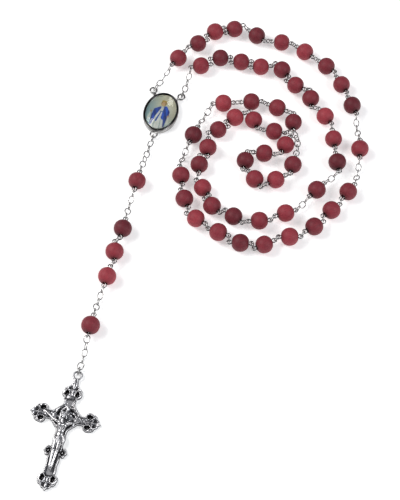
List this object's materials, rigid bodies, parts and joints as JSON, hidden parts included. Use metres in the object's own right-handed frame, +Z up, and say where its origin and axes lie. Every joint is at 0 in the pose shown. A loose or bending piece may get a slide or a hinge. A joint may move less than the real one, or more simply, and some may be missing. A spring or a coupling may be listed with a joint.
{
  "type": "rosary",
  "caption": "Five-decade rosary of small turned wooden beads on wire pins and chain links, with an oval domed centrepiece and a crucifix, laid out flat.",
  "frame": {"origin": "middle of the laid-out rosary's bounding box, on the surface that it lies on", "axes": "+Z up from the surface; +Y away from the crucifix, towards the top of the loop"},
  "size_m": [0.1258, 0.1976, 0.0076],
  "materials": {
    "wood": "satin, dyed dark red",
    "silver_plate": "bright silver plate",
    "antique_silver": "antiqued, dark in the recesses",
    "picture": "printed picture",
    "clear_resin": "clear, domed"
  },
  "bodies": {
    "centrepiece": {"centrepiece_case": "silver_plate", "centrepiece_picture": "picture", "centrepiece_dome": "clear_resin"},
    "chain_left_ear_to_decade_1": {"chain_left_ear_to_decade_1": "silver_plate"},
    "decade_1_beads_1_2": {"decade_1_beads_1_2": "wood"},
    "decade_1_beads_3_4": {"decade_1_beads_3_4": "wood"},
    "decade_1_beads_5_6": {"decade_1_beads_5_6": "wood"},
    "decade_1_beads_7_8": {"decade_1_beads_7_8": "wood"},
    "decade_1_beads_9_10": {"decade_1_beads_9_10": "wood"},
    "chain_decade_1_to_our_father_1": {"chain_decade_1_to_our_father_1": "silver_plate"},
    "our_father_1": {"our_father_1": "wood"},
    "chain_our_father_1_to_decade_2": {"chain_our_father_1_to_decade_2": "silver_plate"},
    "decade_2_beads_1_2": {"decade_2_beads_1_2": "wood"},
    "decade_2_beads_3_4": {"decade_2_beads_3_4": "wood"},
    "decade_2_beads_5_6": {"decade_2_beads_5_6": "wood"},
    "decade_2_beads_7_8": {"decade_2_beads_7_8": "wood"},
    "decade_2_beads_9_10": {"decade_2_beads_9_10": "wood"},
    "chain_decade_2_to_our_father_2": {"chain_decade_2_to_our_father_2": "silver_plate"},
    "our_father_2": {"our_father_2": "wood"},
    "chain_our_father_2_to_decade_3": {"chain_our_father_2_to_decade_3": "silver_plate"},
    "decade_3_beads_1_2": {"decade_3_beads_1_2": "wood"},
    "decade_3_beads_3_4": {"decade_3_beads_3_4": "wood"},
    "decade_3_beads_5_6": {"decade_3_beads_5_6": "wood"},
    "decade_3_beads_7_8": {"decade_3_beads_7_8": "wood"},
    "decade_3_beads_9_10": {"decade_3_beads_9_10": "wood"},
    "chain_decade_3_to_our_father_3": {"chain_decade_3_to_our_father_3": "silver_plate"},
    "chain_right_ear_to_decade_5": {"chain_right_ear_to_decade_5": "silver_plate"},
    "decade_5_beads_9_10": {"decade_5_beads_9_10": "wood"},
    "decade_5_beads_7_8": {"decade_5_beads_7_8": "wood"},
    "decade_5_beads_5_6": {"decade_5_beads_5_6": "wood"},
    "decade_5_beads_3_4": {"decade_5_beads_3_4": "wood"},
    "decade_5_beads_1_2": {"decade_5_beads_1_2": "wood"},
    "chain_decade_5_to_our_father_4": {"chain_decade_5_to_our_father_4": "silver_plate"},
    "our_father_4": {"our_father_4": "wood"},
    "chain_our_father_4_to_decade_4": {"chain_our_father_4_to_decade_4": "silver_plate"},
    "decade_4_beads_9_10": {"decade_4_beads_9_10": "wood"},
    "decade_4_beads_7_8": {"decade_4_beads_7_8": "wood"},
    "decade_4_beads_5_6": {"decade_4_beads_5_6": "wood"},
    "decade_4_beads_3_4": {"decade_4_beads_3_4": "wood"},
    "decade_4_beads_1_2": {"decade_4_beads_1_2": "wood"},
    "chain_decade_4_to_our_father_3": {"chain_decade_4_to_our_father_3": "silver_plate"},
    "our_father_3": {"our_father_3": "wood"},
    "chain_centrepiece_to_our_father_5": {"chain_centrepiece_to_our_father_5": "silver_plate"},
    "our_father_5_pin": {"our_father_5_pin": "silver_plate"},
    "chain_our_father_5_to_hail_mary_1": {"chain_our_father_5_to_hail_mary_1": "silver_plate"},
    "hail_mary_1_pin": {"hail_mary_1_pin": "silver_plate"},
    "hail_mary_2_pin": {"hail_mary_2_pin": "silver_plate"},
    "hail_mary_3_pin": {"hail_mary_3_pin": "silver_plate"},
    "chain_hail_mary_3_to_our_father_6": {"chain_hail_mary_3_to_our_father_6": "silver_plate"},
    "our_father_6_pin": {"our_father_6_pin": "silver_plate"},
    "chain_our_father_6_to_jump_ring": {"chain_our_father_6_to_jump_ring": "silver_plate"},
    "jump_ring": {"jump_ring": "silver_plate"},
    "crucifix": {"crucifix_cross": "antique_silver", "crucifix_corpus": "antique_silver", "crucifix_title_plate": "antique_silver"},
    "our_father_5_bead": {"our_father_5_bead": "wood"},
    "hail_mary_1_bead": {"hail_mary_1_bead": "wood"},
    "hail_mary_2_bead": {"hail_mary_2_bead": "wood"},
    "hail_mary_3_bead": {"hail_mary_3_bead": "wood"},
    "our_father_6_bead": {"our_father_6_bead": "wood"}
  },
  "joints": [
    {"name": "hinge_chain_left_ear_to_decade_1", "type": "hinge", "parent": "centrepiece", "child": "chain_left_ear_to_decade_1", "pos_m": [-0.02208, 0.06609, 0.00154], "axis": [-0.8363, 0.5483, 0], "range_deg": [-30, 30]},
    {"name": "hinge_decade_1_beads_1_2", "type": "hinge", "parent": "chain_left_ear_to_decade_1", "child": "decade_1_beads_1_2", "pos_m": [-0.01477, 0.07724, 0.0035], "axis": [0.7205, -0.6935, 0], "range_deg": [-30, 30]},
    {"name": "hinge_decade_1_beads_3_4", "type": "hinge", "parent": "decade_1_beads_1_2", "child": "decade_1_beads_3_4", "pos_m": [-0.00066, 0.09189, 0.0035], "axis": [-0.1521, 0.9884, 0], "range_deg": [-30, 30]},
    {"name": "hinge_decade_1_beads_5_6", "type": "hinge", "parent": "decade_1_beads_3_4", "child": "decade_1_beads_5_6", "pos_m": [0.01708, 0.09462, 0.0035], "axis": [-0.3925, -0.9198, 0], "range_deg": [-30, 30]},
    {"name": "hinge_decade_1_beads_7_8", "type": "hinge", "parent": "decade_1_beads_5_6", "child": "decade_1_beads_7_8", "pos_m": [0.03664, 0.08627, 0.0035], "axis": [0.6984, 0.7157, 0], "range_deg": [-30, 30]},
    {"name": "hinge_decade_1_beads_9_10", "type": "hinge", "parent": "decade_1_beads_7_8", "child": "decade_1_beads_9_10", "pos_m": [0.05222, 0.07107, 0.0035], "axis": [-0.9309, -0.3652, 0], "range_deg": [-30, 30]},
    {"name": "hinge_chain_decade_1_to_our_father_1", "type": "hinge", "parent": "decade_1_beads_9_10", "child": "chain_decade_1_to_our_father_1", "pos_m": [0.05917, 0.05334, 0.0035], "axis": [0.9984, 0.0567, 0], "range_deg": [-30, 30]},
    {"name": "hinge_our_father_1", "type": "hinge", "parent": "chain_decade_1_to_our_father_1", "child": "our_father_1", "pos_m": [0.05988, 0.04088, 0.0035], "axis": [-0.9967, 0.081, 0], "range_deg": [-30, 30]},
    {"name": "hinge_chain_our_father_1_to_decade_2", "type": "hinge", "parent": "our_father_1", "child": "chain_our_father_1_to_decade_2", "pos_m": [0.05921, 0.0326, 0.0035], "axis": [0.9761, -0.2174, 0], "range_deg": [-30, 30]},
    {"name": "hinge_decade_2_beads_1_2", "type": "hinge", "parent": "chain_our_father_1_to_decade_2", "child": "decade_2_beads_1_2", "pos_m": [0.05652, 0.02051, 0.0035], "axis": [-0.785, 0.6195, 0], "range_deg": [-30, 30]},
    {"name": "hinge_decade_2_beads_3_4", "type": "hinge", "parent": "decade_2_beads_1_2", "child": "decade_2_beads_3_4", "pos_m": [0.04361, 0.00416, 0.0035], "axis": [0.3928, -0.9196, 0], "range_deg": [-30, 30]},
    {"name": "hinge_decade_2_beads_5_6", "type": "hinge", "parent": "decade_2_beads_3_4", "child": "decade_2_beads_5_6", "pos_m": [0.02463, -0.00395, 0.0035], "axis": [0.1189, 0.9929, 0], "range_deg": [-30, 30]},
    {"name": "hinge_decade_2_beads_7_8", "type": "hinge", "parent": "decade_2_beads_5_6", "child": "decade_2_beads_7_8", "pos_m": [0.00741, -0.00188, 0.0035], "axis": [-0.625, -0.7807, 0], "range_deg": [-30, 30]},
    {"name": "hinge_decade_2_beads_9_10", "type": "hinge", "parent": "decade_2_beads_7_8", "child": "decade_2_beads_9_10", "pos_m": [-0.00789, 0.01036, 0.0035], "axis": [0.9832, 0.1828, 0], "range_deg": [-30, 30]},
    {"name": "hinge_chain_decade_2_to_our_father_2", "type": "hinge", "parent": "decade_2_beads_9_10", "child": "chain_decade_2_to_our_father_2", "pos_m": [-0.01131, 0.02875, 0.0035], "axis": [-0.9463, 0.3232, 0], "range_deg": [-30, 15]},
    {"name": "hinge_our_father_2", "type": "hinge", "parent": "chain_decade_2_to_our_father_2", "child": "our_father_2", "pos_m": [-0.00765, 0.03945, 0.0035], "axis": [0.9123, -0.4094, 0], "range_deg": [-30, 30]},
    {"name": "hinge_chain_our_father_2_to_decade_3", "type": "hinge", "parent": "our_father_2", "child": "chain_our_father_2_to_decade_3", "pos_m": [-0.00425, 0.04703, 0.0035], "axis": [-0.8717, 0.49, 0], "range_deg": [-30, 30]},
    {"name": "hinge_decade_3_beads_1_2", "type": "hinge", "parent": "chain_our_father_2_to_decade_3", "child": "decade_3_beads_1_2", "pos_m": [0.0019, 0.05798, 0.0035], "axis": [-0.012, -0.9999, 0], "range_deg": [-30, 30]},
    {"name": "hinge_decade_3_beads_3_4", "type": "hinge", "parent": "decade_3_beads_1_2", "child": "decade_3_beads_3_4", "pos_m": [0.02385, 0.05772, 0.0035], "axis": [0.8795, 0.4758, 0], "range_deg": [-30, 30]},
    {"name": "hinge_decade_3_beads_5_6", "type": "hinge", "parent": "decade_3_beads_3_4", "child": "decade_3_beads_5_6", "pos_m": [0.03222, 0.04224, 0.0035], "axis": [-0.1242, 0.9923, 0], "range_deg": [-30, 30]},
    {"name": "hinge_decade_3_beads_7_8", "type": "hinge", "parent": "decade_3_beads_5_6", "child": "decade_3_beads_7_8", "pos_m": [0.01534, 0.03537, 0.0035], "axis": [0.9015, 0.4328, 0], "range_deg": [-30, 30]},
    {"name": "hinge_decade_3_beads_9_10", "type": "hinge", "parent": "decade_3_beads_7_8", "child": "decade_3_beads_9_10", "pos_m": [0.02239, 0.02068, 0.0035], "axis": [0.7365, -0.6764, 0], "range_deg": [-30, 30]},
    {"name": "hinge_chain_decade_3_to_our_father_3", "type": "hinge", "parent": "decade_3_beads_9_10", "child": "chain_decade_3_to_our_father_3", "pos_m": [0.03409, 0.03343, 0.0035], "axis": [-0.9855, 0.1699, 0], "range_deg": [-30, 0]},
    {"name": "hinge_chain_right_ear_to_decade_5", "type": "hinge", "parent": "centrepiece", "child": "chain_right_ear_to_decade_5", "pos_m": [-0.0109, 0.06259, 0.0015], "axis": [0.9607, -0.2777, 0], "range_deg": [-30, 30]},
    {"name": "hinge_decade_5_beads_9_10", "type": "hinge", "parent": "chain_right_ear_to_decade_5", "child": "decade_5_beads_9_10", "pos_m": [-0.00704, 0.07592, 0.0035], "axis": [-0.2989, 0.9543, 0], "range_deg": [-30, 30]},
    {"name": "hinge_decade_5_beads_7_8", "type": "hinge", "parent": "decade_5_beads_9_10", "child": "decade_5_beads_7_8", "pos_m": [0.00917, 0.081, 0.0035], "axis": [-0.2628, -0.9649, 0], "range_deg": [-30, 30]},
    {"name": "hinge_decade_5_beads_5_6", "type": "hinge", "parent": "decade_5_beads_7_8", "child": "decade_5_beads_5_6", "pos_m": [0.02568, 0.0765, 0.0035], "axis": [0.6562, 0.7546, 0], "range_deg": [-30, 30]},
    {"name": "hinge_decade_5_beads_3_4", "type": "hinge", "parent": "decade_5_beads_5_6", "child": "decade_5_beads_3_4", "pos_m": [0.03894, 0.06497, 0.0035], "axis": [-0.8531, -0.5217, 0], "range_deg": [-30, 30]},
    {"name": "hinge_decade_5_beads_1_2", "type": "hinge", "parent": "decade_5_beads_3_4", "child": "decade_5_beads_1_2", "pos_m": [0.04896, 0.04859, 0.0035], "axis": [0.9963, 0.0858, 0], "range_deg": [-30, 30]},
    {"name": "hinge_chain_decade_5_to_our_father_4", "type": "hinge", "parent": "decade_5_beads_1_2", "child": "chain_decade_5_to_our_father_4", "pos_m": [0.05086, 0.02652, 0.0035], "axis": [-0.6632, 0.7484, 0], "range_deg": [-15, 30]},
    {"name": "hinge_our_father_4", "type": "hinge", "parent": "chain_decade_5_to_our_father_4", "child": "our_father_4", "pos_m": [0.04469, 0.02106, 0.0035], "axis": [0.7036, -0.7106, 0], "range_deg": [-30, 15]},
    {"name": "hinge_chain_our_father_4_to_decade_4", "type": "hinge", "parent": "our_father_4", "child": "chain_our_father_4_to_decade_4", "pos_m": [0.0388, 0.01522, 0.0035], "axis": [-0.7418, 0.6706, 0], "range_deg": [-15, 30]},
    {"name": "hinge_decade_4_beads_9_10", "type": "hinge", "parent": "chain_our_father_4_to_decade_4", "child": "decade_4_beads_9_10", "pos_m": [0.03329, 0.00913, 0.0035], "axis": [0.2575, -0.9663, 0], "range_deg": [-30, 15]},
    {"name": "hinge_decade_4_beads_7_8", "type": "hinge", "parent": "decade_4_beads_9_10", "child": "decade_4_beads_7_8", "pos_m": [0.0151, 0.00428, 0.0035], "axis": [0.2635, 0.9647, 0], "range_deg": [-30, 30]},
    {"name": "hinge_decade_4_beads_5_6", "type": "hinge", "parent": "decade_4_beads_7_8", "child": "decade_4_beads_5_6", "pos_m": [-0.00162, 0.01405, 0.0035], "axis": [-0.996, -0.0899, 0], "range_deg": [-30, 30]},
    {"name": "hinge_decade_4_beads_3_4", "type": "hinge", "parent": "decade_4_beads_5_6", "child": "decade_4_beads_3_4", "pos_m": [-0.00339, 0.03368, 0.0035], "axis": [0.7686, -0.6397, 0], "range_deg": [-30, 30]},
    {"name": "hinge_decade_4_beads_1_2", "type": "hinge", "parent": "decade_4_beads_3_4", "child": "decade_4_beads_1_2", "pos_m": [0.00775, 0.04706, 0.0035], "axis": [0.0611, 0.9981, 0], "range_deg": [-30, 30]},
    {"name": "hinge_chain_decade_4_to_our_father_3", "type": "hinge", "parent": "decade_4_beads_1_2", "child": "chain_decade_4_to_our_father_3", "pos_m": [0.01947, 0.04634, 0.0035], "axis": [-0.2993, -0.9542, 0], "range_deg": [-30, 30]},
    {"name": "hinge_our_father_3", "type": "hinge", "parent": "chain_decade_4_to_our_father_3", "child": "our_father_3", "pos_m": [0.02196, 0.04556, 0.0035], "axis": [0.1736, 0.9848, 0], "range_deg": [-30, 30]},
    {"name": "hinge_chain_centrepiece_to_our_father_5", "type": "hinge", "parent": "centrepiece", "child": "chain_centrepiece_to_our_father_5", "pos_m": [-0.02191, 0.04427, 0.0015], "axis": [0, 0, 1], "range_deg": [-45, 15]},
    {"name": "hinge_our_father_5_pin", "type": "hinge", "parent": "chain_centrepiece_to_our_father_5", "child": "our_father_5_pin", "pos_m": [-0.02681, 0.02618, 0.0035], "axis": [0, 0, -1], "range_deg": [-45, 45]},
    {"name": "hinge_chain_our_father_5_to_hail_mary_1", "type": "hinge", "parent": "our_father_5_pin", "child": "chain_our_father_5_to_hail_mary_1", "pos_m": [-0.0287, 0.0181, 0.0035], "axis": [0, 0, 1], "range_deg": [-45, 45]},
    {"name": "hinge_hail_mary_1_pin", "type": "hinge", "parent": "chain_our_father_5_to_hail_mary_1", "child": "hail_mary_1_pin", "pos_m": [-0.03169, 0.00528, 0.0035], "axis": [0, 0, -1], "range_deg": [-30, 30]},
    {"name": "hinge_hail_mary_2_pin", "type": "hinge", "parent": "hail_mary_1_pin", "child": "hail_mary_2_pin", "pos_m": [-0.03548, -0.00441, 0.0035], "axis": [0, 0, 1], "range_deg": [-30, 30]},
    {"name": "hinge_hail_mary_3_pin", "type": "hinge", "parent": "hail_mary_2_pin", "child": "hail_mary_3_pin", "pos_m": [-0.03677, -0.01486, 0.0035], "axis": [0, 0, -1], "range_deg": [-30, 30]},
    {"name": "hinge_chain_hail_mary_3_to_our_father_6", "type": "hinge", "parent": "hail_mary_3_pin", "child": "chain_hail_mary_3_to_our_father_6", "pos_m": [-0.03894, -0.02286, 0.0035], "axis": [0, 0, 1], "range_deg": [-45, 45]},
    {"name": "hinge_our_father_6_pin", "type": "hinge", "parent": "chain_hail_mary_3_to_our_father_6", "child": "our_father_6_pin", "pos_m": [-0.04218, -0.03463, 0.0035], "axis": [0, 0, -1], "range_deg": [-45, 45]},
    {"name": "hinge_chain_our_father_6_to_jump_ring", "type": "hinge", "parent": "our_father_6_pin", "child": "chain_our_father_6_to_jump_ring", "pos_m": [-0.04412, -0.04269, 0.0035], "axis": [0.9796, -0.2011, 0], "range_deg": [-45, 45]},
    {"name": "hinge_jump_ring", "type": "hinge", "parent": "chain_our_father_6_to_jump_ring", "child": "jump_ring", "pos_m": [-0.04668, -0.05516, 0.0015], "axis": [0, 0, 1], "range_deg": [-30, 30]},
    {"name": "hinge_crucifix", "type": "hinge", "parent": "jump_ring", "child": "crucifix", "pos_m": [-0.04715, -0.05736, 0.0015], "axis": [-0.9744, 0.225, 0], "range_deg": [-45, 15]},
    {"name": "spin_our_father_6_bead", "type": "hinge", "parent": "our_father_6_pin", "child": "our_father_6_bead", "pos_m": [-0.04315, -0.03866, 0.0035], "axis": [-0.2339, -0.9723, 0], "continuous": true},
    {"name": "spin_hail_mary_3_bead", "type": "hinge", "parent": "hail_mary_3_pin", "child": "hail_mary_3_bead", "pos_m": [-0.03785, -0.01886, 0.0035], "axis": [-0.2621, -0.965, 0], "continuous": true},
    {"name": "spin_hail_mary_2_bead", "type": "hinge", "parent": "hail_mary_2_pin", "child": "hail_mary_2_bead", "pos_m": [-0.03545, -0.00856, 0.0035], "axis": [0.0064, -1, 0], "continuous": true},
    {"name": "spin_hail_mary_1_bead", "type": "hinge", "parent": "hail_mary_1_pin", "child": "hail_mary_1_bead", "pos_m": [-0.03265, 0.00124, 0.0035], "axis": [-0.2322, -0.9727, 0], "continuous": true},
    {"name": "spin_our_father_5_bead", "type": "hinge", "parent": "our_father_5_pin", "child": "our_father_5_bead", "pos_m": [-0.02775, 0.02214, 0.0035], "axis": [-0.2283, -0.9736, 0], "continuous": true}
  ]
}
